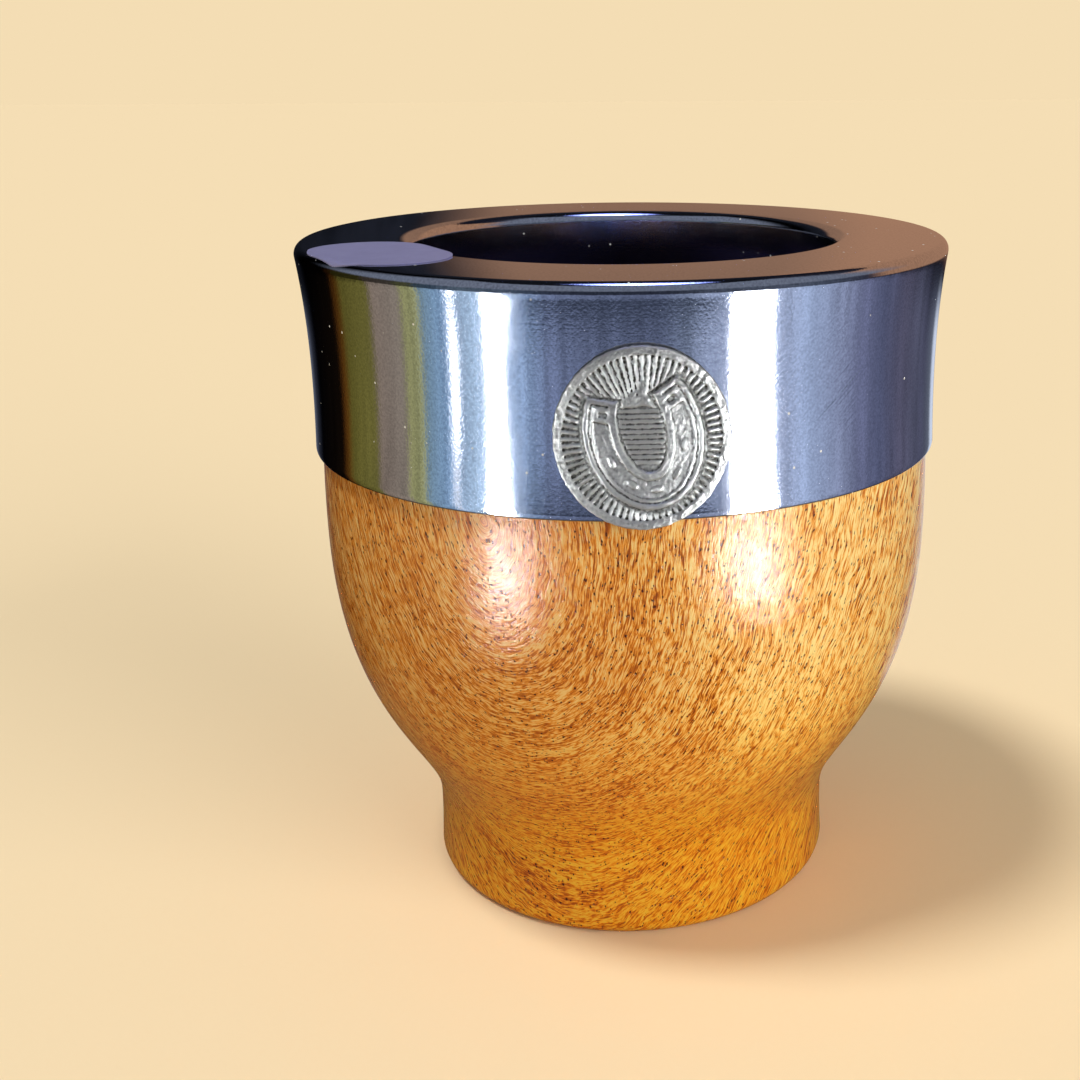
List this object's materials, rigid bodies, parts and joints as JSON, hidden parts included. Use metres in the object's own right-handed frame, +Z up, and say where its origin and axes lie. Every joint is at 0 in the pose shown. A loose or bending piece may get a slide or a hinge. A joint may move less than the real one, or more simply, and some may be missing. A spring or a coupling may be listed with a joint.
{
  "type": "mate cup",
  "caption": "Turned wooden mate cup with a polished steel collar over its rim, a horseshoe medallion on the collar and a blank paper label.",
  "frame": {"origin": "centre of the foot's flat underside", "axes": "+Z up along the cup's turning axis; the medallion is glued to the collar on the -Y side"},
  "size_m": [0.09, 0.0903, 0.0951],
  "materials": {
    "varnished_wood": "glossy clear varnish over orange-brown wood",
    "polished_steel": "polished, with fine marks round the collar",
    "nickel_silver": "struck relief, bright on top and dark in the recesses",
    "label_paper": "thin coated paper"
  },
  "bodies": {
    "root": {"wood_bowl": "varnished_wood", "steel_collar": "polished_steel", "horseshoe_medallion": "nickel_silver", "price_label": "label_paper"}
  },
  "joints": []
}
